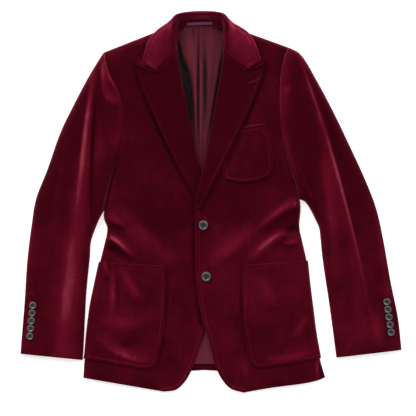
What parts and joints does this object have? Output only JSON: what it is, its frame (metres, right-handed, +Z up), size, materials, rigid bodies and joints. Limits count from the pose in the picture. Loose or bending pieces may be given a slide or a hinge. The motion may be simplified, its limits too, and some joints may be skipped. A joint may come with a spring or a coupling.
{
  "type": "velvet jacket",
  "caption": "Tailored velvet jacket laid flat on its back and buttoned, with peaked lapels, patch pockets and lined neck opening.",
  "frame": {"origin": "middle of the jacket's outline, on the surface it lies on", "axes": "+Z up from the surface, +Y from the hem to the collar, +X towards the wearer's left sleeve"},
  "size_m": [0.794, 0.794, 0.042],
  "materials": {
    "velvet": "short-pile velvet with a soft sheen",
    "collar_velvet": "the same velvet with its pile lying the other way",
    "lining": "satin",
    "ribbon": "satin ribbon",
    "horn": "polished horn"
  },
  "bodies": {
    "root": {"back_right": "velvet", "back_left": "velvet", "front_right": "velvet", "front_left": "velvet", "sleeve_right_top": "velvet", "sleeve_right_under": "velvet", "sleeve_left_top": "velvet", "sleeve_left_under": "velvet", "pocket_right": "velvet", "pocket_left": "velvet", "pocket_breast": "velvet", "lapel_right": "velvet", "lapel_left": "velvet", "collar": "collar_velvet", "neck_facing": "collar_velvet", "lining_back": "lining", "hanger_loop": "ribbon", "button_front_1": "horn", "button_front_2": "horn", "button_right_1": "horn", "button_right_2": "horn", "button_right_3": "horn", "button_right_4": "horn", "button_right_5": "horn", "button_left_1": "horn", "button_left_2": "horn", "button_left_3": "horn", "button_left_4": "horn", "button_left_5": "horn"}
  },
  "joints": []
}
